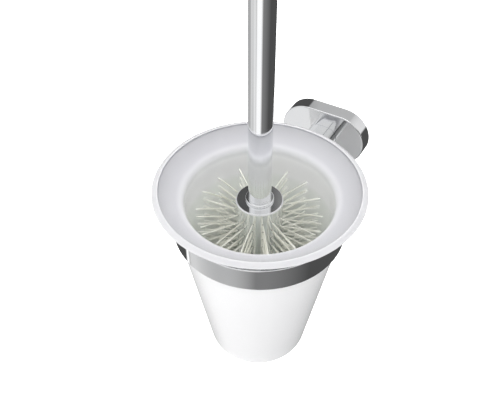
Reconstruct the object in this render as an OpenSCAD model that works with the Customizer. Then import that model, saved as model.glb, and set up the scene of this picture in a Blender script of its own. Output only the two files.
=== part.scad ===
// Wall-mounted toilet brush holder: a chromed ring on an arm holds a frosted glass
// tumbler, and a brush with a long chromed handle stands in the tumbler.
// The origin is the middle of the wall plate's back face. The wall is at +Y, +Z is up.

/* [Wall bracket] */
// Distance from the wall to the axis of the tumbler
reach = 87; // [80:1:110]
// Width of the stadium-shaped wall cap
cap_w = 53; // [50:1:70]
// Height of the wall cap
cap_h = 33; // [31:1:40]
// Depth of the wall cap, from the wall to its front face
cap_depth = 9.5; // [9:0.5:14]
// Wall thickness of the cap
cap_wall = 2.5; // [2:0.1:3]
// Thickness of the plate that is screwed to the wall
plate_t = 5; // [4.5:0.1:6]
// Distance between the two wall screws
screw_spacing = 28; // [26:1:32]
// Diameter of each wall screw hole
screw_hole_d = 5.5; // [4:0.5:6]

/* [Arm and ring] */
// Width of the arm
arm_w = 18; // [14:1:22]
// Height of the arm
arm_h = 13; // [12:0.5:14]
// Outside diameter of the ring
ring_d = 92.2; // [91.2:0.1:94]
// Height of the ring band
ring_h = 14; // [13:0.5:16]

/* [Glass tumbler] */
// Outside diameter of the flared rim
rim_d = 110; // [106:1:118]
// Overall height of the tumbler
glass_h = 121.5; // [118:0.5:130]
// Height of the rim's widest circle above the middle of the ring
rim_rise = 19.2; // [19:0.1:21]
// Outside diameter of the foot
foot_d = 59; // [56:1:64]
// Diameter of the opening at the bottom of the flared rim
throat_d = 78.4; // [77:0.2:79]
// Thickness of the glass side wall
glass_t = 3.8; // [3.4:0.1:4.2]
// Thickness of the glass floor
floor_t = 8; // [6:0.5:10]

/* [Brush] */
// Height of the whole set, from the tumbler's foot to the top of the handle
set_h = 380; // [340:5:400]
// Diameter of the handle
handle_d = 12; // [12:0.5:14]
// Wall thickness of the handle tube
handle_t = 1; // [0.8:0.1:1.2]
// Diameter of the core that holds the tufts
core_d = 24.8; // [22:0.2:26]
// Length of the core
core_h = 88; // [84:1:90]
// Depth of the core's top face below the rim's widest circle
core_drop = 8.7; // [8:0.1:11]
// Diameter across the bristle tips of the upper rows
bristle_d = 67; // [60:1:68]
// Number of upright columns of tufts round the core
columns = 15; // [12:1:16]

/* [Hidden] */
$fn = 96;
gap = 0.3; // air between parts that lift away from each other
edge = 0.3; // chamfer on turned edges

ring_r = ring_d / 2;
ring_t = 1.8;
ring_in = ring_r - ring_t;
liner_t = 0.5;
liner_in = ring_in - liner_t;
seat_r = liner_in - gap; // outside of the glass where the ring holds it

rim_r = rim_d / 2;
lip_rise = 1.55; // top of the lip above its widest circle
glass_z = rim_rise + lip_rise - glass_h; // underside of the foot
foot_r = foot_d / 2;
foot_round = 4;
foot_top = glass_z + foot_round; // the side wall starts here
throat_r = throat_d / 2;
throat_round = 4;
throat_z = rim_rise - 9.3; // height of the narrowest circle of the throat
seat_low = -ring_h / 2 - 1; // the side wall tapers from here down
floor_z = glass_z + floor_t;

core_r = core_d / 2;
core_z = rim_rise - core_drop; // top face of the core
core_low = core_z - core_h;
column_turn = 19; // angle of the first column of tufts, measured from +X
collar_t = 1.5;
handle_z = core_z + collar_t; // lower end of the handle tube
handle_top = glass_z + set_h;
handle_r = handle_d / 2;
bore_r = handle_r - handle_t;
thread_r = 3; // M6 stud that joins the head to the handle
end_cap_t = 2.5;
bush_h = 16;

grub_r = 2; // M4 set screw
grub_y = -plate_t / 2 - 0.3;
arm_screw_r = 2.5; // M5 screw
socket_af = 3; // hexagon key size

function column_name(i) = str("tuft_column_", i);

// Points on an elliptical arc about (r, z), from angle a0 to a1, in n steps.
function arc(r, z, rr, rz, a0, a1, n) =
    [for (i = [0:n]) let (a = a0 + (a1 - a0) * i / n) [r + rr * cos(a), z + rz * sin(a)]];

// Points on a circular arc that leaves point a at a slope and rises to b, listed from b back to a.
function sweep(a, b, slope, n) =
    let (turn = 2 * (atan2(b[1] - a[1], b[0] - a[0]) - slope), r = norm(b - a) / 2 / sin(turn / 2))
    [for (i = [n:-1:0]) let (t = slope + turn * i / n) a + r * [sin(t) - sin(slope), cos(slope) - cos(t)]];

// Radius of the glass's outside at height z, on the tapered side wall.
function side_r(z) = foot_r + (seat_r - foot_r) * (z - foot_top) / (seat_low - foot_top);

// Radius that the bristle tips reach at height z, trimmed to follow the glass.
function tip_r(z) = min(bristle_d / 2, side_r(z) - glass_t - 1.2);

module stadium(w, h) {
    square([w - h, h], center = true);
    for (side = [-1, 1])
        translate([side * (w - h) / 2, 0]) circle(d = h);
}

// A stadium outline drawn on the wall and extruded between two depths.
module wall_prism(w, h, y_front, y_back) {
    translate([0, y_back, 0])
        rotate([90, 0, 0])
            linear_extrude(y_back - y_front) stadium(w, h);
}

// A cylinder along Y between two depths.
module y_bore(r, y_front, y_back, x = 0) {
    translate([x, y_back, 0])
        rotate([90, 0, 0]) cylinder(r = r, h = y_back - y_front);
}

// Turned about the tumbler's axis.
module on_axis() {
    translate([0, -reach, 0]) children();
}

// A turned band with its four edges chamfered.
module band(r_in, r_out, z_low, z_high) {
    rotate_extrude()
        polygon([
            [r_in + edge, z_low], [r_out - edge, z_low],
            [r_out, z_low + edge], [r_out, z_high - edge],
            [r_out - edge, z_high], [r_in + edge, z_high],
            [r_in, z_high - edge], [r_in, z_low + edge]
        ]);
}

module hex_socket(depth) {
    cylinder(d = socket_af / cos(30), h = depth, $fn = 6);
}

// ---- Wall bracket ----

module wall_plate() {
    inset = cap_wall + gap;
    plate_w = cap_w - 2 * inset;
    plate_h = cap_h - 2 * inset;
    color("silver")
        difference() {
            wall_prism(plate_w, plate_h, -plate_t, 0);
            for (side = [-1, 1]) {
                y_bore(screw_hole_d / 2, -plate_t - 1, 1, side * screw_spacing / 2);
                // Countersink for the screw's head
                translate([side * screw_spacing / 2, -plate_t - 0.01, 0])
                    rotate([-90, 0, 0])
                        cylinder(r1 = screw_hole_d / 2 + 2.4, r2 = screw_hole_d / 2, h = 2.4);
            }
            // Room for the arm screw's head
            y_bore(5.5, -plate_t - 1, 1);
            // Notch that the set screw's tip bears in
            translate([0, grub_y, -plate_h / 2 - 1])
                cylinder(r = grub_r + 0.15, h = 3.5);
        }
}

module wall_cap() {
    color("gainsboro")
        difference() {
            wall_prism(cap_w, cap_h, -cap_depth, 0);
            wall_prism(
                cap_w - 2 * cap_wall,
                cap_h - 2 * cap_wall,
                -cap_depth + cap_wall,
                1
            );
            y_bore(arm_screw_r + 0.1, -cap_depth - 1, -cap_depth + cap_wall + 1);
            translate([0, grub_y, -cap_h / 2 - 1])
                cylinder(r = grub_r, h = cap_wall + 2);
        }
}

module set_screw() {
    screw_len = cap_wall + 2.3;
    color("dimgray")
        translate([0, grub_y, -cap_h / 2 + 0.3])
            difference() {
                cylinder(r = grub_r, h = screw_len);
                translate([0, 0, -0.01])
                    cylinder(d = 2 / cos(30), h = 2.2, $fn = 6);
            }
}

module arm_screw() {
    head_y = -cap_depth + cap_wall;
    head_h = 2.8;
    color("dimgray")
        difference() {
            union() {
                y_bore(4.6, head_y, head_y + head_h);
                y_bore(arm_screw_r, head_y - 14, head_y + 0.5);
            }
            translate([0, head_y + head_h + 0.01, 0])
                rotate([90, 0, 0]) hex_socket(1.8);
        }
}

module arm() {
    color("gainsboro")
        difference() {
            wall_prism(arm_w, arm_h, -reach + ring_in, -cap_depth);
            // Saddle brazed to the outside of the ring
            on_axis() cylinder(r = ring_r, h = 2 * arm_h, center = true, $fn = 192);
            // Threaded hole for the arm screw
            y_bore(arm_screw_r, -cap_depth - 16, 1);
        }
}

module ring() {
    color("gainsboro")
        on_axis() band(ring_in, ring_r, -ring_h / 2, ring_h / 2, $fn = 192);
}

// Clear sleeve with a small lip, which keeps the glass off the metal.
module ring_liner() {
    lip = 1.2;
    color("whitesmoke")
        on_axis()
            rotate_extrude($fn = 192)
                polygon([
                    [liner_in, -ring_h / 2],
                    [ring_in, -ring_h / 2],
                    [ring_in, ring_h / 2],
                    [ring_in + lip, ring_h / 2],
                    [ring_in + lip, ring_h / 2 + liner_t],
                    [liner_in, ring_h / 2 + liner_t]
                ]);
}

// ---- Glass tumbler ----

module glass_tumbler() {
    rest_z = ring_h / 2 + liner_t + gap; // flat underside above the liner's lip
    slope = 25; // of the flare's inside, where it leaves the throat
    throat = [
        throat_r + throat_round * (1 - sin(slope)),
        throat_z + throat_round * cos(slope)
    ];
    crest_r = 0.5;
    crest = [rim_r - 2.8, rim_rise + lip_rise - crest_r];
    bevel = 63; // direction that the lip's sloping top faces
    wall_low = floor_z + 6; // the floor's inside corner starts here
    low_r = side_r(wall_low) - glass_t;
    profile = concat(
        // Foot, rounded at its edge
        [[0, glass_z]],
        arc(foot_r - foot_round, foot_top, foot_round, foot_round, -90, 0, 6),
        // Side wall, and the seat that rests on the ring
        [[seat_r, seat_low], [seat_r, rest_z], [seat_r + 1.4, rest_z]],
        // Lip, which slopes outwards from its crest to its edge
        arc(rim_r - edge, rim_rise, edge, edge, -45, bevel, 3),
        arc(crest[0], crest[1], crest_r, crest_r, bevel, 133, 3),
        // Inside of the flare, down to the throat
        sweep(throat, crest + crest_r * [cos(133), sin(133)], slope, 8),
        arc(throat_r + throat_round, throat_z, throat_round, throat_round, 120, 180, 5),
        // Inside wall and floor
        [[seat_r - glass_t, seat_low]],
        arc(low_r - 6, wall_low, 6, 6, 0, -90, 6),
        [[0, floor_z]]
    );
    color("ghostwhite")
        on_axis() rotate_extrude($fn = 192) polygon(profile);
}

// ---- Brush ----

module handle_tube() {
    color("gainsboro")
        on_axis()
            difference() {
                translate([0, 0, handle_z])
                    cylinder(r = handle_r, h = handle_top - end_cap_t - handle_z);
                translate([0, 0, handle_z - 1])
                    cylinder(r = bore_r, h = handle_top - handle_z);
            }
}

module handle_end_cap() {
    plug_h = 10;
    round_r = 1;
    low = handle_top - end_cap_t;
    color("gainsboro")
        on_axis()
            rotate_extrude()
                polygon(concat(
                    [[0, low - plug_h], [bore_r, low - plug_h], [bore_r, low], [handle_r, low]],
                    arc(handle_r - round_r, handle_top - round_r, round_r, round_r, 0, 90, 5),
                    [[0, handle_top]]
                ));
}

// Threaded bush pressed into the foot of the handle tube.
module handle_bush() {
    color("goldenrod")
        on_axis()
            translate([0, 0, handle_z])
                difference() {
                    cylinder(r = bore_r, h = bush_h);
                    translate([0, 0, -1]) cylinder(r = thread_r, h = bush_h + 2);
                }
}

module head_stud() {
    low = core_z - 16;
    color("dimgray")
        on_axis()
            translate([0, 0, low])
                cylinder(r = thread_r, h = handle_z + bush_h - 2 - low);
}

module collar() {
    color("gainsboro")
        on_axis() band(thread_r, handle_r + 1.4, core_z, handle_z);
}

// Chromed core with a threaded hole for the stud.
module brush_core() {
    rim = 0.6;
    color("silver")
        on_axis()
            difference() {
                rotate_extrude()
                    polygon([
                        [0, core_low],
                        [core_r - 2, core_low],
                        [core_r, core_low + 2],
                        [core_r, core_z - rim],
                        [core_r - rim, core_z],
                        [0, core_z]
                    ]);
                translate([0, 0, core_z - 18]) cylinder(r = thread_r, h = 20);
            }
}

// Outline that the side tufts fill, from the core out to their tips.
module tuft_outline() {
    top = core_z - 5;
    low = core_low + 3;
    bend = seat_low - 28;
    polygon([
        [core_r - 1, top],
        [tip_r(top), top + 1],
        [tip_r(bend), bend],
        [tip_r(low), low],
        [core_r - 1, low]
    ]);
}

// One upright column of side tufts, as a plain fin standing out from the core.
module tuft_column(i) {
    fin_t = 2.4;
    color("ivory")
        on_axis()
            rotate([0, 0, 360 * (i - 1) / columns + column_turn])
                difference() {
                    rotate([90, 0, 0])
                        linear_extrude(fin_t, center = true) tuft_outline();
                    translate([0, 0, core_low]) cylinder(r = core_r, h = core_h);
                }
}

// Short tufts that splay from the core's lower end to the floor.
module end_tufts() {
    splay_r = 20;
    low = floor_z + 0.5;
    color("ivory")
        on_axis()
            rotate_extrude()
                polygon([
                    [0, low],
                    [splay_r - 2.5, low],
                    [splay_r, low + 3],
                    [core_r - 2, core_low],
                    [0, core_low]
                ]);
}

wall_plate();
wall_cap();
set_screw();
arm_screw();
arm();
ring();
ring_liner();
glass_tumbler();
handle_tube();
handle_end_cap();
handle_bush();
head_stud();
collar();
brush_core();
end_tufts();
for (i = [1:columns])
    tuft_column(i);
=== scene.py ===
"""Looks for the wall-mounted toilet brush holder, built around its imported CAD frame."""

import math
import random

import bmesh
import bpy
from mathutils import Matrix, Vector


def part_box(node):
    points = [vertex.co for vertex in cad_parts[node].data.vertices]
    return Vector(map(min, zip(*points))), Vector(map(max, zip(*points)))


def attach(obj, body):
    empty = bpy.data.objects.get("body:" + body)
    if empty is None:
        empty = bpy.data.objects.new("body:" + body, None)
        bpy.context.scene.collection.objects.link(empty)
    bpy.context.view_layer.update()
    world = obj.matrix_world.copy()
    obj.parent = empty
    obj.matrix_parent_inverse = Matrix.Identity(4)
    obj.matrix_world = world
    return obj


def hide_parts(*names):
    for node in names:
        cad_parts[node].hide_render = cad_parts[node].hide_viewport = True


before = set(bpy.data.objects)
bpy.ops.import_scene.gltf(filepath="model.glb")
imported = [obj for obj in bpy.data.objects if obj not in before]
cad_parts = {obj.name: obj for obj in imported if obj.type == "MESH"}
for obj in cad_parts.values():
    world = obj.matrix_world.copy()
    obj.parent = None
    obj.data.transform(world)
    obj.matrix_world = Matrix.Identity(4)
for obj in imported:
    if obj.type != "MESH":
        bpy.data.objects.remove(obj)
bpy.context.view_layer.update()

MM = 0.001

# ---- Places and sizes taken from the CAD frame, in metres ----

tube_low, tube_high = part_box("handle_tube")
cap_low, cap_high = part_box("wall_cap")
arm_low, arm_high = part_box("arm")
ring_low, ring_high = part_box("ring")
liner_low, liner_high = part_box("ring_liner")
glass_low, glass_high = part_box("glass_tumbler")
end_low, end_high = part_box("handle_end_cap")
collar_low, collar_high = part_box("collar")
core_low, core_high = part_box("brush_core")
fin_low, fin_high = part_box("tuft_column_1")
splay_low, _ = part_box("end_tufts")

AXIS = Vector(((tube_low.x + tube_high.x) / 2, (tube_low.y + tube_high.y) / 2, 0))
HANDLE_R = (tube_high.x - tube_low.x) / 2
RING_R = (ring_high.x - ring_low.x) / 2
COLLAR_R = (collar_high.x - collar_low.x) / 2
CORE_R = (core_high.x - core_low.x) / 2
RIM_R = (glass_high.x - glass_low.x) / 2
COLUMNS = sum(name.startswith("tuft_column_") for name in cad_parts)

# ---- Sizes that repeat the CAD source ----

RING_T = 1.8 * MM
LINER_T = 0.5 * MM
LIP_RISE = 1.55 * MM  # top of the glass's lip above its widest circle
LIP_EDGE = 0.3 * MM
THROAT_R = 39.2 * MM
THROAT_ROUND = 4 * MM
THROAT_DROP = 9.3 * MM  # from the rim's widest circle to the throat's narrowest
FLARE_SLOPE = 25  # degrees, where the flare leaves the throat
FOOT_R = 29.5 * MM
FOOT_ROUND = 4 * MM
GLASS_T = 3.8 * MM
FLOOR_T = 8 * MM
CAP_WALL = 2.5 * MM
FIRST_COLUMN = math.radians(19)
BRISTLE_R = 33.5 * MM

RIM_Z = glass_high.z - LIP_RISE  # the rim's widest circle
SEAT_R = RING_R - RING_T - LINER_T - 0.3 * MM
SEAT_LOW = ring_low.z - 1 * MM
FOOT_TOP = glass_low.z + FOOT_ROUND
FLOOR_Z = glass_low.z + FLOOR_T

# ---- Mesh helpers ----


def finish_piece(name, bm, material, body, replaced=(), smooth_angle=40):
    """Turns bm into an object with its material, riding on a CAD body."""
    bmesh.ops.recalc_face_normals(bm, faces=bm.faces)
    mesh = bpy.data.meshes.new(name)
    bm.to_mesh(mesh)
    bm.free()
    mesh.shade_smooth()
    mesh.set_sharp_from_angle(angle=math.radians(smooth_angle))
    mesh.materials.append(material)
    piece = bpy.data.objects.new(name, mesh)
    bpy.context.scene.collection.objects.link(piece)
    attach(piece, body)
    if replaced:
        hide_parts(*replaced)
    return piece


def even_normals(piece):
    """Keeps large flat faces flat where they meet rounded edges."""
    piece.modifiers.new("even_normals", "WEIGHTED_NORMAL").keep_sharp = True
    return piece


def rounded(corners, steps=5):
    """Outline through corners (a, b, radius), each rounded by its own radius."""
    outline = []
    for i, (a, b, radius) in enumerate(corners):
        here = Vector((a, b))
        if radius <= 0:
            outline.append(here)
            continue
        before = (Vector(corners[i - 1][:2]) - here).normalized()
        after = (Vector(corners[(i + 1) % len(corners)][:2]) - here).normalized()
        half = before.angle(after) / 2
        centre = here + (before + after).normalized() * (radius / math.sin(half))
        start = here + before * (radius / math.tan(half)) - centre
        stop = here + after * (radius / math.tan(half)) - centre
        first = math.atan2(start.y, start.x)
        sweep = (math.atan2(stop.y, stop.x) - first + math.pi) % (2 * math.pi) - math.pi
        for k in range(steps + 1):
            turn = first + sweep * k / steps
            outline.append(centre + radius * Vector((math.cos(turn), math.sin(turn))))
    return outline


def arc(r, z, radius_r, radius_z, start, stop, steps):
    """Points on an ellipse about (r, z), between two angles in degrees."""
    points = []
    for k in range(steps + 1):
        turn = math.radians(start + (stop - start) * k / steps)
        points.append(Vector((r + radius_r * math.cos(turn), z + radius_z * math.sin(turn))))
    return points


def lathe(profile, segments=192, tags=()):
    """Turns a closed outline of (radius, height) points about the brush's axis.

    tags is a dictionary of vertex attributes, each with one value for every point."""
    bm = bmesh.new()
    layers = [(bm.verts.layers.float.new(name), values) for name, values in dict(tags).items()]
    circles = []
    for i, (r, z) in enumerate(profile):
        circle = []
        for k in range(1 if r < 1e-7 else segments):
            turn = 2 * math.pi * k / segments
            vertex = bm.verts.new(AXIS + Vector((r * math.cos(turn), r * math.sin(turn), z)))
            for layer, values in layers:
                vertex[layer] = values[i]
            circle.append(vertex)
        circles.append(circle if len(circle) > 1 else circle * segments)
    for a, b in zip(circles, circles[1:] + circles[:1]):
        for k in range(segments):
            corners = [a[k], a[k - 1], b[k - 1], b[k]]
            unique = [v for i, v in enumerate(corners) if v not in corners[:i]]
            if len(unique) > 2:
                bm.faces.new(unique)
    return bm


def stadium_loop(bm, width, height, depth, steps=32):
    """One loop of vertices on a stadium outline; depth is one y, or a function of x."""
    radius = height / 2
    loop = []
    for side in (1, -1):
        for k in range(steps + 1):
            turn = math.radians(-90 * side + 180 * k / steps)
            x = side * (width / 2 - radius) + radius * math.cos(turn)
            y = depth(x) if callable(depth) else depth
            loop.append(bm.verts.new((x, y, radius * math.sin(turn))))
    return loop


def skin(bm, loops):
    """Joins loops of equal length into a tube, closed by one face at each end."""
    for a, b in zip(loops, loops[1:]):
        for k in range(len(a)):
            bm.faces.new((a[k - 1], a[k], b[k], b[k - 1]))
    bm.faces.new(loops[0][::-1])
    bm.faces.new(loops[-1])


# ---- Material helpers ----


def grey(value):
    return (value, value, value, 1)


def feed(tree, socket, value):
    """Links an output to the socket, or sets the socket to a number or a colour."""
    if isinstance(value, bpy.types.NodeSocket):
        tree.links.new(value, socket)
    else:
        socket.default_value = value


def blend_colours(tree, factor, a, b):
    """Blends colour a into b; each may be a value or an output."""
    node = tree.nodes.new("ShaderNodeMix")
    node.data_type = "RGBA"
    for index, value in ((0, factor), (6, a), (7, b)):
        feed(tree, node.inputs[index], value)
    return node.outputs[2]


class Nodes:
    """A material's node tree with its Principled shader, and short ways to add to it."""

    def __init__(self, name, **sockets):
        self.material = bpy.data.materials.new(name)
        self.material.use_nodes = True
        self.tree = self.material.node_tree
        self.shader = self.tree.nodes["Principled BSDF"]
        for socket, value in sockets.items():
            self.shader.inputs[socket.replace("_", " ")].default_value = value

    def add(self, kind, **settings):
        node = self.tree.nodes.new(kind)
        for key, value in settings.items():
            setattr(node, key, value)
        return node

    def link(self, output, socket):
        self.tree.links.new(output, socket)

    def drive(self, socket, output):
        """Feeds one of the shader's own sockets from an output."""
        self.link(output, self.shader.inputs[socket])

    def attribute(self, name):
        return self.add("ShaderNodeAttribute", attribute_name=name).outputs["Fac"]

    def place(self, stretch=(1, 1, 1)):
        """Object coordinates, stretched along the axes."""
        mapping = self.add("ShaderNodeMapping")
        mapping.inputs["Scale"].default_value = stretch
        self.link(self.add("ShaderNodeTexCoord").outputs["Object"], mapping.inputs["Vector"])
        return mapping.outputs["Vector"]

    def noise(self, scale, detail=3, stretch=(1, 1, 1)):
        node = self.add("ShaderNodeTexNoise")
        node.inputs["Scale"].default_value = scale
        node.inputs["Detail"].default_value = detail
        self.link(self.place(stretch), node.inputs["Vector"])
        return node.outputs["Fac"]

    def ramp(self, value, stops):
        """A colour ramp of (position, colour) stops."""
        node = self.add("ShaderNodeValToRGB")
        elements = node.color_ramp.elements
        while len(elements) < len(stops):
            elements.new(1.0)
        for element, (position, colour) in zip(elements, sorted(stops)):
            element.position = position
            element.color = colour
        self.link(value, node.inputs["Fac"])
        return node.outputs["Color"]

    def remap(self, value, low, high, to_low, to_high):
        node = self.add("ShaderNodeMapRange")
        for socket, number in zip(node.inputs[1:5], (low, high, to_low, to_high)):
            socket.default_value = number
        self.link(value, node.inputs[0])
        return node.outputs[0]

    def mix(self, factor, a, b):
        return blend_colours(self.tree, factor, a, b)

    def bump(self, height, strength, distance):
        node = self.add("ShaderNodeBump")
        node.inputs["Strength"].default_value = strength
        node.inputs["Distance"].default_value = distance
        self.link(height, node.inputs["Height"])
        self.drive("Normal", node.outputs["Normal"])


# ---- Materials ----


def chrome(name, roughness=0.035):
    """Polished chrome plating with faint smudges and hairlines."""
    m = Nodes(name, Metallic=1.0)
    smudge = m.noise(45, detail=4)
    tint = m.ramp(smudge, [(0.3, (0.86, 0.87, 0.885, 1)), (0.7, (0.9, 0.905, 0.91, 1))])
    m.drive("Base Color", tint)
    m.drive("Roughness", m.remap(smudge, 0.35, 0.75, roughness, roughness + 0.04))
    m.bump(m.noise(60, detail=1), 0.02, 0.5 * MM)
    return m.material


def frosted_glass():
    """Satin white glass that light soaks through, with a thin line of painted shade inside its
    lip.

    Its tone changes with height as painted shade: the flare and lip are greyer than the body, and
    inside, the wall is greyer below the top of the tufts."""
    m = Nodes("frosted_glass", Subsurface_Weight=0.9, Subsurface_Scale=5 * MM, IOR=1.45)
    m.shader.inputs["Specular IOR Level"].default_value = 0.25
    m.shader.inputs["Subsurface Radius"].default_value = (1.0, 1.0, 1.0)
    height = m.add("ShaderNodeSeparateXYZ")
    m.link(m.place(), height.inputs[0])
    height = height.outputs["Z"]

    cloud = m.noise(18, detail=4)
    body = m.ramp(cloud, [(0.35, (0.945, 0.945, 0.95, 1)), (0.65, (0.96, 0.96, 0.96, 1))])
    # Painted shade: the top of the lip is blended towards grey.
    lip = m.remap(height, RIM_Z - 5 * MM, RIM_Z - 1 * MM, 0, 1)
    outside = m.mix(lip, body, (0.5, 0.5, 0.51, 1))

    # Painted shade inside: greyer beside the tufts and on the flare, and close to the body's tone
    # on the wall between them.
    depth = m.remap(height, RIM_Z - 60 * MM, RIM_Z, 0, 1)
    inner_shade = m.ramp(depth, [
        (0.0, (0.75, 0.77, 0.73, 1)), (0.52, (0.84, 0.86, 0.83, 1)),  # beside the tufts
        (0.6, (0.94, 0.95, 0.94, 1)), (0.8, (0.95, 0.96, 0.95, 1)),  # the wall above them
        (0.92, (0.48, 0.48, 0.5, 1)), (1.0, (0.43, 0.43, 0.445, 1)),  # the flare
    ])
    colour = m.mix(m.attribute("inside"), outside, inner_shade)
    # Painted shade: a thin dark grey line down the steep inner edge of the lip.
    m.drive("Base Color", m.mix(m.attribute("shade_line"), colour, (0.34, 0.34, 0.36, 1)))

    grain = m.noise(2600, detail=2)
    m.drive("Roughness", m.remap(grain, 0.3, 0.7, 0.2, 0.28))
    m.bump(grain, 0.08, 0.2 * MM)
    return m.material


def clear_plastic():
    """Soft clear plastic of the ring's liner."""
    m = Nodes("clear_plastic", Transmission_Weight=0.75, IOR=1.45)
    cloud = m.noise(60)
    tint = m.ramp(cloud, [(0.3, (0.86, 0.88, 0.89, 1)), (0.7, (0.93, 0.95, 0.95, 1))])
    m.drive("Base Color", tint)
    m.drive("Roughness", m.remap(cloud, 0.3, 0.7, 0.2, 0.32))
    return m.material


def bristle():
    """Cream nylon filaments, each a slightly different shade, paler towards their tips as painted
    light.
    """
    m = Nodes("bristle", IOR=1.5)
    along = m.attribute("along")
    strand = m.attribute("strand")
    shade = m.ramp(
        strand,
        [(0.0, (0.42, 0.42, 0.35, 1)), (0.5, (0.6, 0.6, 0.53, 1)), (1.0, (0.78, 0.78, 0.72, 1))],
    )
    # Painted light: the last part of each filament is blended paler, which leaves the roots
    # darker as if shaded.
    painted_tip_light = m.remap(along, 0.8, 1.0, 0.0, 0.6)
    m.drive("Base Color", m.mix(painted_tip_light, shade, (0.85, 0.85, 0.81, 1)))
    m.drive("Roughness", m.remap(strand, 0, 1, 0.3, 0.45))
    return m.material


def tuft_hole_shade():
    """Painted shade: the dark mouth of each hole that a tuft is set in."""
    m = Nodes("tuft_hole_shade")
    cloud = m.noise(800)
    tint = m.ramp(cloud, [(0.3, (0.05, 0.05, 0.045, 1)), (0.7, (0.11, 0.11, 0.1, 1))])
    m.drive("Base Color", tint)
    m.drive("Roughness", m.remap(cloud, 0.3, 0.7, 0.5, 0.7))
    return m.material


def turned_metal(name, dark, light, roughness=0.28):
    """Machined or zinc-plated metal with fine tool marks."""
    m = Nodes(name, Metallic=1.0)
    marks = m.noise(700, detail=3, stretch=(0.08, 1, 0.08))
    m.drive("Base Color", m.ramp(marks, [(0.3, dark), (0.7, light)]))
    m.drive("Roughness", m.remap(marks, 0.3, 0.7, roughness, roughness + 0.15))
    m.bump(marks, 0.15, 0.2 * MM)
    return m.material


# ---- Camera and studio ----

CAMERA_TURN = math.radians(29.9)  # round the tumbler's axis from the front
CAMERA_PITCH = math.radians(43.71)
CAMERA_BACK = 239.3 * MM  # from the axis
CAMERA_SIDE = -5 * MM  # to the right of the axis, so this is to its left
CAMERA_RISE = 219.1 * MM  # above the rim
CAMERA_LENS = 45.9  # in mm

# What glossy surfaces mirror: soft panels in a dark studio, where a later panel covers an
# earlier one. Each has a name, its middle by compass angle in degrees from +X towards +Y, its
# width, the degrees over which its sides fade, its lowest and highest direction (-1 is
# straight down, 1 straight up) and its brightness.
DARK_WALL = 0.08
PANELS = [
    ("fill", -80, 120, 60, -1.0, 0.0, 0.22),
    ("left", -140, 56, 8, -1.0, 0.0, 0.7),
    ("left_front", -110, 40, 50, -1.0, -0.6, 0.5),
    ("front", -82, 44, 15, -0.66, 0.0, 1.1),
    ("front_left", -118, 18, 10, -0.66, -0.4, 0.85),
    ("back_left", 165, 40, 10, -0.65, 0.0, 0.5),
    ("strip", -171, 5, 2, -1.0, -0.65, 1.2),
    ("upper_front", -75, 50, 40, 0.2, 0.9, 0.7),
    ("upper_left", -140, 80, 40, 0.0, 0.9, 0.85),
    ("upper_side", -15, 80, 30, 0.45, 0.9, 0.75),
    ("upper_right", 45, 60, 50, 0.0, 0.9, 0.8),
    ("upper_back", 95, 40, 5, 0.0, 0.9, 0.5),
]
PANEL_LOW_FADE = 0.04  # how far a panel's lower edge fades to either side
PANEL_HIGH_FADE = 0.1  # and its upper edge
OVERHEAD = 1.5  # brightness of the softbox straight above
OVERHEAD_EDGE = (0.86, 0.93)  # the directions between which it fades in

# What lights everything else: a soft room under a wide softbox. Its upper and lower halves each
# change across the room, from one colour to another towards a compass angle.
ROOM_OVERHEAD = 2.6
ROOM_OVERHEAD_EDGE = (0.5, 0.7)
ROOM_HORIZON = (-0.1, 0.4)  # the directions between which the lower half meets the upper
ROOM_BELOW = (-100, grey(0.25), grey(1.6))  # dimmer towards the wall
ROOM_ABOVE = (-38, grey(0.35), (0.15, 0.15, 0.2, 1))
ROOM_REACH = 0.9  # how far along that direction, either way, the change goes on
FLOOR_DROP = 350 * MM  # the floor below the tumbler's foot
FLOOR_R = 6000 * MM


def make_camera():
    """Looks down at the rim from the front right."""
    across = Vector((math.cos(CAMERA_TURN), math.sin(CAMERA_TURN), 0))
    heading = Vector((-math.sin(CAMERA_TURN), math.cos(CAMERA_TURN), 0))
    data = bpy.data.cameras.new("camera")
    data.lens = CAMERA_LENS
    camera = bpy.data.objects.new("camera", data)
    camera.location = AXIS + Vector((0, 0, RIM_Z + CAMERA_RISE))
    camera.location += across * CAMERA_SIDE - heading * CAMERA_BACK
    camera.rotation_euler = (math.pi / 2 - CAMERA_PITCH, 0, CAMERA_TURN)
    bpy.context.scene.collection.objects.link(camera)
    bpy.context.scene.camera = camera


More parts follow.
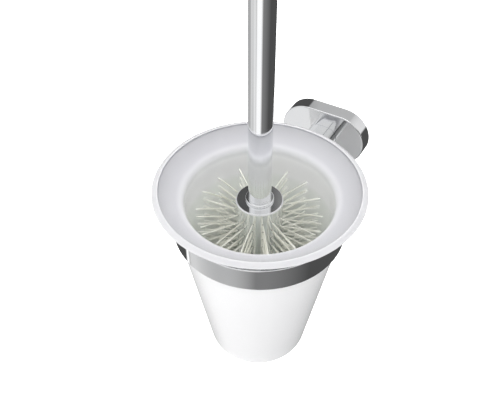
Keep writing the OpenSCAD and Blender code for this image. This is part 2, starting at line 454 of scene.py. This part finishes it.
def make_world():
    """The room that lights everything, and the panels that glossy surfaces mirror."""
    world = bpy.data.worlds.new("studio")
    bpy.context.scene.world = world
    world.use_nodes = True
    tree = world.node_tree
    tree.nodes.clear()

    def node(kind, *inputs, **settings):
        made = tree.nodes.new(kind)
        for key, value in settings.items():
            setattr(made, key, value)
        for socket, value in zip(made.inputs, inputs):
            feed(tree, socket, value)
        return made

    def maths(operation, *inputs):
        return node("ShaderNodeMath", *inputs, operation=operation).outputs[0]

    def share(value, low, high):
        """0 where value is low, 1 where it is high."""
        return node("ShaderNodeMapRange", value, low, high, 0, 1).outputs[0]

    def blend(factor, a, b):
        return blend_colours(tree, factor, a, b)

    direction = node("ShaderNodeTexCoord").outputs["Generated"]
    x, y, z = node("ShaderNodeSeparateXYZ", direction).outputs
    compass = maths("ARCTAN2", y, x)

    def slope(azimuth, low, high):
        """Colours blended across the room, towards a compass angle."""
        turn = math.radians(azimuth)
        along = maths("MULTIPLY", x, math.cos(turn))
        along = maths("MULTIPLY_ADD", y, math.sin(turn), along)
        return blend(share(along, -ROOM_REACH, ROOM_REACH), low, high)

    walls = grey(DARK_WALL)
    for _, middle, width, fade, lowest, highest, brightness in PANELS:
        off = maths("COSINE", maths("SUBTRACT", compass, math.radians(middle)))
        outer = math.cos(math.radians((width + fade) / 2))
        inner = math.cos(math.radians((width - fade) / 2))
        above = share(z, lowest - PANEL_LOW_FADE, lowest + PANEL_LOW_FADE)
        below = share(z, highest + PANEL_HIGH_FADE, highest - PANEL_HIGH_FADE)
        cover = maths("MULTIPLY", maths("MULTIPLY", share(off, outer, inner), above), below)
        walls = blend(cover, walls, grey(brightness))
    walls = blend(share(z, *OVERHEAD_EDGE), walls, grey(OVERHEAD))

    room = blend(share(z, *ROOM_HORIZON), slope(*ROOM_BELOW), slope(*ROOM_ABOVE))
    room = blend(share(z, *ROOM_OVERHEAD_EDGE), room, grey(ROOM_OVERHEAD))

    rays = node("ShaderNodeLightPath").outputs
    seen = blend(rays["Is Glossy Ray"], room, walls)
    seen = blend(rays["Is Camera Ray"], seen, grey(1.0))
    background = node("ShaderNodeBackground", seen)
    output = node("ShaderNodeOutputWorld")
    tree.links.new(background.outputs[0], output.inputs["Surface"])


def make_floor():
    """A pale floor that glows a little, well below the holder and unseen in its chrome."""
    m = Nodes("pale_floor", Roughness=0.8, Emission_Strength=0.6)
    m.shader.inputs["Emission Color"].default_value = grey(1.0)
    tint = m.ramp(m.noise(3), [(0.3, grey(0.93)), (0.7, grey(0.96))])
    m.drive("Base Color", tint)
    bm = bmesh.new()
    bmesh.ops.create_circle(bm, cap_ends=True, radius=FLOOR_R, segments=64)
    mesh = bpy.data.meshes.new("floor")
    bm.to_mesh(mesh)
    bm.free()
    mesh.materials.append(m.material)
    floor = bpy.data.objects.new("floor", mesh)
    floor.location = (0, 0, glass_low.z - FLOOR_DROP)
    floor.visible_glossy = False
    floor.visible_diffuse = False
    bpy.context.scene.collection.objects.link(floor)


# ---- Bracket ----


def make_wall_cap(metal):
    """Hollow stadium cap with softly rounded front edge."""
    width, height = cap_high.x - cap_low.x, cap_high.z - cap_low.z
    front, back = cap_low.y, cap_high.y
    edge = 0.7 * MM
    back_edge = 0.2 * MM
    sections = [(CAP_WALL, front + CAP_WALL), (CAP_WALL, back)]
    sections += [(back_edge, back), (0, back - back_edge)]
    for k in range(7):
        turn = math.radians(90 * k / 6)
        sections.append((edge - edge * math.cos(turn), front + edge - edge * math.sin(turn)))
    bm = bmesh.new()
    loops = []
    for inset, y in sections:
        loops.append(stadium_loop(bm, width - 2 * inset, height - 2 * inset, y))
    skin(bm, loops)
    even_normals(finish_piece("wall_cap_shell", bm, metal, "bracket", ["wall_cap"]))


def make_arm(metal):
    """Bar of stadium section whose front end fits the ring's outside."""
    width, height = arm_high.x - arm_low.x, arm_high.z - arm_low.z
    chamfer = 0.4 * MM
    into_ring = 0.2 * MM

    def ring_side(x):
        return AXIS.y + math.sqrt((RING_R - into_ring) ** 2 - x * x)

    bm = bmesh.new()
    loops = [
        stadium_loop(bm, width, height, ring_side),
        stadium_loop(bm, width, height, arm_high.y - chamfer),
        stadium_loop(bm, width - 2 * chamfer, height - 2 * chamfer, arm_high.y),
    ]
    skin(bm, loops)
    even_normals(finish_piece("arm_bar", bm, metal, "bracket", ["arm"]))


def make_ring(metal):
    """Flat band that the tumbler hangs in."""
    inner = RING_R - RING_T
    edge = 0.45 * MM
    outline = rounded([
        (inner, ring_low.z, edge), (RING_R, ring_low.z, edge),
        (RING_R, ring_high.z, edge), (inner, ring_high.z, edge),
    ])
    even_normals(finish_piece("ring_band", lathe(outline), metal, "bracket", ["ring"]))


def make_liner(plastic):
    """Thin sleeve between the band and the glass, with a lip over the band's top edge."""
    inner = RING_R - RING_T
    bore = inner - LINER_T
    lip = liner_high.x - AXIS.x
    thin = 0.15 * MM
    outline = rounded([
        (bore, liner_low.z, thin), (inner, liner_low.z, thin), (inner, ring_high.z, 0),
        (lip, ring_high.z, thin), (lip, liner_high.z, thin), (bore, liner_high.z, thin),
    ], steps=3)
    liner = lathe(outline)
    even_normals(
        finish_piece("liner_sleeve", liner, plastic, "bracket", ["ring_liner"])
    )


# ---- Tumbler ----


def sweep(a, b, slope, steps):
    """Points on a circular arc that leaves a at a slope in degrees and rises to b."""
    a, b = Vector(a), Vector(b)
    slope = math.radians(slope)
    turn = 2 * (math.atan2(b.y - a.y, b.x - a.x) - slope)
    radius = (b - a).length / 2 / math.sin(turn / 2)
    points = []
    for k in range(steps + 1):
        t = slope + turn * k / steps
        points.append(
            a + radius * Vector((math.sin(t) - math.sin(slope), math.cos(slope) - math.cos(t)))
        )
    return points


def make_glass(glass):
    """Flared tumbler: rounded foot, tapered wall, seat in the ring, flared rim with a lip.

    Each stretch of the outline says how far it is inside, and how far on the line of painted
    shade inside the lip."""
    hollow = 0.8 * MM  # the middle of the foot is this much higher
    hollow_r = FOOT_R - 9 * MM
    bend = 20 * MM  # radius between the tapered wall and the seat
    fillet = 0.2 * MM
    rest_z = liner_high.z + 0.3 * MM  # flat underside above the liner's lip
    crest = 0.5 * MM  # radius of the lip's crest
    crest_r, crest_z = RIM_R - 2.8 * MM, glass_high.z - crest
    bevel = 63  # direction that the lip's sloping top faces
    throat_mid, throat_z = THROAT_R + THROAT_ROUND, RIM_Z - THROAT_DROP
    slope = math.radians(FLARE_SLOPE)
    flare_low = Vector((throat_mid, throat_z))
    flare_low += THROAT_ROUND * Vector((-math.sin(slope), math.cos(slope)))
    flare_high = Vector((crest_r - crest, crest_z - 0.35 * MM))
    shade_line_end = flare_high + Vector((-0.25 * MM, -0.22 * MM))
    floor_round = 6 * MM
    wall_low = FLOOR_Z + floor_round  # the floor's inside corner starts here
    taper = (SEAT_R - FOOT_R) / (SEAT_LOW - FOOT_TOP)
    low_r = FOOT_R + taper * (wall_low - FOOT_TOP) - GLASS_T
    pieces = [
        # Foot, slightly hollow underneath
        ([(0, glass_low.z + hollow), (hollow_r, glass_low.z + hollow)], 0, 0),
        ([(hollow_r + hollow, glass_low.z)], 0, 0),
        (arc(FOOT_R - FOOT_ROUND, FOOT_TOP, FOOT_ROUND, FOOT_ROUND, -90, -5, 10), 0, 0),
        # Top of the tapered wall, the seat, and the underside that rests on the ring
        (arc(SEAT_R - bend, SEAT_LOW, bend, bend, -8, 0, 3), 0, 0),
        ([(SEAT_R, rest_z - fillet), (SEAT_R + fillet, rest_z)], 0, 0),
        ([(SEAT_R + 1.1 * MM, rest_z), (SEAT_R + 1.6 * MM, rest_z + 0.25 * MM)], 0, 0),
        # Lip
        (arc(RIM_R - LIP_EDGE, RIM_Z, LIP_EDGE, LIP_EDGE, -45, bevel, 8), 0, 0),
        (arc(crest_r, crest_z, crest, crest, bevel, 150, 8), 0, 0),
        # Steep inner edge of the lip, carrying the painted shade line, then the flare from just
        # below it down to the throat
        ([(crest_r - crest, crest_z)], 0.5, 1),
        ([flare_high], 1, 1),
        ([shade_line_end], 1, 0.3),
        (sweep(flare_low, flare_high, FLARE_SLOPE, 24)[-3::-1], 1, 0),
        (arc(throat_mid, throat_z, THROAT_ROUND, THROAT_ROUND, 120, 180, 12), 1, 0),
        # Inside wall and floor
        ([(SEAT_R - GLASS_T, SEAT_LOW)], 1, 0),
        (arc(low_r - floor_round, wall_low, floor_round, floor_round, 0, -90, 10), 1, 0),
        ([(0, FLOOR_Z)], 1, 0),
    ]
    outline, inside, shade_line = [], [], []
    for points, is_inside, is_shade_line in pieces:
        outline += points
        inside += [is_inside] * len(points)
        shade_line += [is_shade_line] * len(points)
    turned = lathe(outline, 256, {"inside": inside, "shade_line": shade_line})
    finish_piece("tumbler", turned, glass, "tumbler", ["glass_tumbler"], 60)


# ---- Brush ----


def make_handle(metal):
    """Tube, end cap and collar, each turned with its own small edges."""
    top, foot = tube_high.z, tube_low.z
    bore = HANDLE_R - 1 * MM
    fine = 0.12 * MM
    tube = rounded([
        (bore, foot, fine), (HANDLE_R, foot, 0.3 * MM), (HANDLE_R, top, fine), (bore, top, fine),
    ])
    turned_tube = lathe(tube, 128)
    even_normals(
        finish_piece("handle_tube_skin", turned_tube, metal, "brush", ["handle_tube"])
    )
    cap = rounded([
        (0, end_low.z, 0), (bore, end_low.z, 0), (bore, top + fine, 0),
        (HANDLE_R, top + fine, fine), (HANDLE_R, end_high.z, 1 * MM), (0, end_high.z, 0),
    ])
    even_normals(
        finish_piece("handle_end", lathe(cap, 128), metal, "brush", ["handle_end_cap"])
    )
    stud_r = 3 * MM
    washer = rounded([
        (stud_r, collar_low.z, 0), (COLLAR_R, collar_low.z, 0.35 * MM),
        (COLLAR_R, collar_high.z, 0.45 * MM), (stud_r, collar_high.z, 0),
    ])
    collar = lathe(washer, 128)
    even_normals(finish_piece("foot_collar", collar, metal, "brush", ["collar"]))


def make_core(metal):
    """Barrel that the tufts are set in, bevelled at both ends."""
    low, top = core_low.z, core_high.z
    step, rim = 2 * MM, 0.6 * MM
    soft, fine = 0.6 * MM, 0.15 * MM
    outline = rounded([
        (0, low, 0), (CORE_R - step, low, soft), (CORE_R, low + step, soft),
        (CORE_R, top - rim, fine), (CORE_R - rim, top, fine), (0, top, 0),
    ])
    even_normals(
        finish_piece(
            "core_barrel", lathe(outline, 160), metal, "brush", ["brush_core"]
        )
    )


class Strands:
    """Collects filaments as thin round tubes, with how far along and which shade each is."""

    SIDES = 5

    def __init__(self):
        self.points, self.faces, self.along, self.shade = [], [], [], []

    def add(self, path, radius, shade):
        start = len(self.points)
        direction = (path[-1] - path[0]).normalized()
        side = direction.cross(Vector((0, 0, 1)) if abs(direction.z) < 0.9 else Vector((1, 0, 0)))
        side.normalize()
        other = direction.cross(side)
        sides = self.SIDES
        for i, centre in enumerate(path):
            for k in range(sides):
                turn = 2 * math.pi * k / sides
                offset = radius * (math.cos(turn) * side + math.sin(turn) * other)
                self.points.append(centre + offset)
                self.along.append(i / (len(path) - 1))
                self.shade.append(shade)
        for i in range(len(path) - 1):
            low = start + i * sides
            for k in range(sides):
                after = (k + 1) % sides
                self.faces.append((low + k, low + after, low + sides + after, low + sides + k))
        last = start + (len(path) - 1) * sides
        self.faces.append(tuple(last + k for k in range(sides)))
        self.faces.append(tuple(start + k for k in reversed(range(sides))))

    def finish(self, name, material, replaced):
        mesh = bpy.data.meshes.new(name)
        mesh.from_pydata(self.points, [], self.faces)
        for label, values in (("along", self.along), ("strand", self.shade)):
            attribute = mesh.attributes.new(label, "FLOAT", "POINT")
            attribute.data.foreach_set("value", values)
        mesh.shade_smooth()
        mesh.set_sharp_from_angle(angle=math.radians(80))
        mesh.materials.append(material)
        piece = bpy.data.objects.new(name, mesh)
        bpy.context.scene.collection.objects.link(piece)
        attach(piece, "brush")
        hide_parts(*replaced)


ROW_PITCH = 5.6 * MM
TOP_ROW_DROP = 3 * MM  # of the first row below the top of the CAD column
TIP_GAP = 1.4 * MM  # between the lower rows' tips and the glass
END_RINGS = ((3 * MM, 5, 0.12), (7.5 * MM, 11, 0.55))  # radius, count and outward lean
COLUMN_SEED = 100
END_SEED = 77
ROOT_DEPTH = 0.6 * MM  # how deep in the core the filaments start
STRANDS_PER_TUFT = 8
STRAYS_PER_TUFT = 8
TOP_ROW_STRAYS = 3
STRAND_R = 0.12 * MM
STRAY_R = 0.045 * MM
BUNDLE_R = 0.17 * MM  # how far from the tuft's middle its filaments start
STRAND_SPLAY = 0.13 * MM
STRAY_SPLAY = 1.5 * MM
SPREAD_JITTER = 0.3  # of the splay
BEND = 0.05 * MM
SHORTEST = 0.955  # of the tuft's full length
TURN_JITTER = 0.006  # how far a tuft's aim strays, in radians sideways
RISE_JITTER = 0.008  # and upwards


def tip_radius(z):
    """How far from the axis the tips reach at height z: the lower rows follow the glass."""
    taper = (SEAT_R - FOOT_R) / (SEAT_LOW - FOOT_TOP)
    inside = FOOT_R + taper * (z - FOOT_TOP) - GLASS_T
    return min(BRISTLE_R, inside - TIP_GAP)


def add_tuft(strands, dice, root, aim, up, length, strays=STRAYS_PER_TUFT):
    """One tuft: filaments that leave one hole together, and finer strays that splay out."""
    side = aim.cross(up).normalized()
    for i in range(STRANDS_PER_TUFT + strays):
        stray = i >= STRANDS_PER_TUFT
        turn, reach = dice.uniform(0, 2 * math.pi), math.sqrt(dice.random())
        across, rise = math.cos(turn) * reach, math.sin(turn) * reach
        start = root + (side * across + up * rise) * BUNDLE_R
        splay = STRAY_SPLAY if stray else STRAND_SPLAY
        spread = side * dice.gauss(across, SPREAD_JITTER) * splay
        spread += up * dice.gauss(rise, SPREAD_JITTER) * splay
        bend = side * dice.gauss(0, BEND) + up * dice.gauss(0, BEND)
        reach_out = length * dice.uniform(SHORTEST, 1.0)
        path = []
        for k in range(4):
            t = k / 3
            path.append(start + aim * (reach_out * t) + spread * t + bend * (t * t - t) * 2)
        strands.add(path, STRAY_R if stray else STRAND_R, dice.random())


def make_tufts(nylon):
    """Upright columns of tufts round the core; returns each hole's place and direction."""
    up = Vector((0, 0, 1))
    top_row = fin_high.z - TOP_ROW_DROP
    rows = int((top_row - fin_low.z) / ROW_PITCH) + 1
    holes = []
    for column in range(COLUMNS):
        dice = random.Random(COLUMN_SEED + column)
        turn = FIRST_COLUMN + 2 * math.pi * column / COLUMNS
        strands = Strands()
        for row in range(rows):
            z = top_row - row * ROW_PITCH
            aim_turn = turn + dice.gauss(0, TURN_JITTER)
            aim = Vector((math.cos(aim_turn), math.sin(aim_turn), dice.gauss(0, RISE_JITTER)))
            out = Vector((math.cos(turn), math.sin(turn), 0))
            root = AXIS + out * (CORE_R - ROOT_DEPTH) + up * z
            length = tip_radius(z) - CORE_R + ROOT_DEPTH
            strays = STRAYS_PER_TUFT if row else TOP_ROW_STRAYS
            add_tuft(strands, dice, root, aim.normalized(), up, length, strays)
            holes.append((root, out))
        name = f"tuft_column_{column + 1}"
        strands.finish(f"bristles_{column + 1}", nylon, [name])
    return holes


def make_end_tufts(nylon):
    """Short tufts under the core, splayed so that they reach the tumbler's floor."""
    dice = random.Random(END_SEED)
    strands = Strands()
    lowest = splay_low.z + 0.2 * MM
    splay_room = 1.2 * MM  # for filaments that lean lower than their tuft
    for ring_r, count, lean in END_RINGS:
        for k in range(count):
            turn = 2 * math.pi * k / count
            out = Vector((math.cos(turn), math.sin(turn), 0))
            aim = (Vector((0, 0, -1)) + out * lean).normalized()
            root = AXIS + out * ring_r + Vector((0, 0, core_low.z + ROOT_DEPTH))
            length = (root.z - lowest) / -aim.z - splay_room
            side_up = aim.cross(Vector((-out.y, out.x, 0)))
            add_tuft(strands, dice, root, aim, side_up, length)
    strands.finish("end_bristles", nylon, ["end_tufts"])


def make_sockets(holes, plastic):
    """The mouth of each tuft hole: a shallow dark plug just proud of the chrome, painted shade
    for the hole's dark inside.
    """
    foot_r, face_r, depth = 0.5 * MM, 0.45 * MM, 0.1 * MM
    bm = bmesh.new()
    for root, out in holes:
        centre = root + out * ROOT_DEPTH
        turn = Vector((0, 0, 1)).rotation_difference(out).to_matrix().to_4x4()
        bmesh.ops.create_cone(
            bm,
            cap_ends=True,
            segments=14,
            radius1=foot_r,
            radius2=face_r,
            depth=depth,
            matrix=Matrix.Translation(centre) @ turn,
        )
    finish_piece("tuft_holes", bm, plastic, "brush")


# ---- Build ----


def give(node, material):
    """Gives a carried-over CAD node its material."""
    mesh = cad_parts[node].data
    mesh.materials.clear()
    mesh.materials.append(material)


def build():
    make_camera()
    make_world()
    make_floor()
    bpy.context.scene.view_settings.view_transform = "Standard"
    metal = chrome("chrome")
    make_wall_cap(metal)
    make_arm(metal)
    make_ring(metal)
    make_liner(clear_plastic())
    make_glass(frosted_glass())
    make_handle(metal)
    make_core(chrome("chromed_core", 0.05))
    nylon = bristle()
    holes = make_tufts(nylon)
    make_end_tufts(nylon)
    make_sockets(holes, tuft_hole_shade())
    steel = turned_metal("zinc_steel", (0.5, 0.51, 0.52, 1), (0.66, 0.67, 0.68, 1))
    for node in ("wall_plate", "set_screw", "arm_screw", "head_stud"):
        give(node, steel)
    give("handle_bush", turned_metal("brass", (0.72, 0.55, 0.26, 1), (0.82, 0.66, 0.34, 1)))


build()
